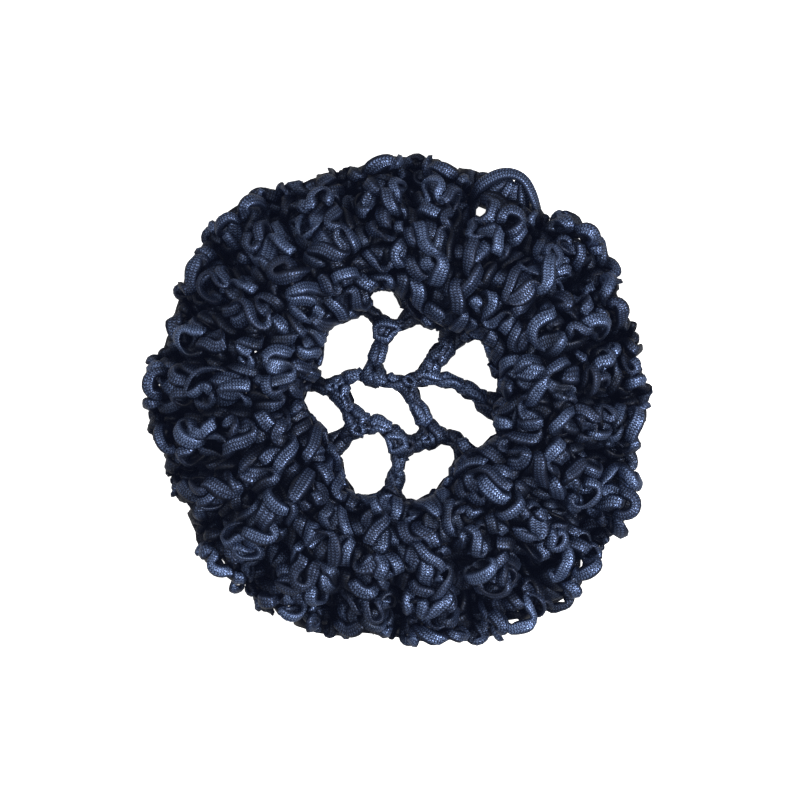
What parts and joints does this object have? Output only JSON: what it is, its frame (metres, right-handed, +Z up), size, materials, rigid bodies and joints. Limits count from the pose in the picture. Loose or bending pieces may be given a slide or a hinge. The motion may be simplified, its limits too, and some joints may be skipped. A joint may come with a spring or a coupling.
{
  "type": "crochet hair snood",
  "caption": "Small bun snood crocheted in flat navy tape: an open chain net over the bun, an elasticated rim band and a deep tiered ruffle all round.",
  "frame": {"origin": "middle of the whole outline, on the surface the snood rests on", "axes": "+Z up, out of the net and away from the head; +X to the picture's right and +Y to its top"},
  "size_m": [0.1152, 0.112, 0.0281],
  "materials": {
    "chain_tape": "satin navy knitted tape in chain stitches",
    "band_tape": "satin navy knitted tape wound tightly over elastic",
    "frill_tape": "satin navy knitted tape in loose open stitches"
  },
  "bodies": {
    "root": {"crown_net": "chain_tape", "rim_band": "band_tape", "inner_frill": "frill_tape", "outer_frill": "frill_tape"}
  },
  "joints": []
}
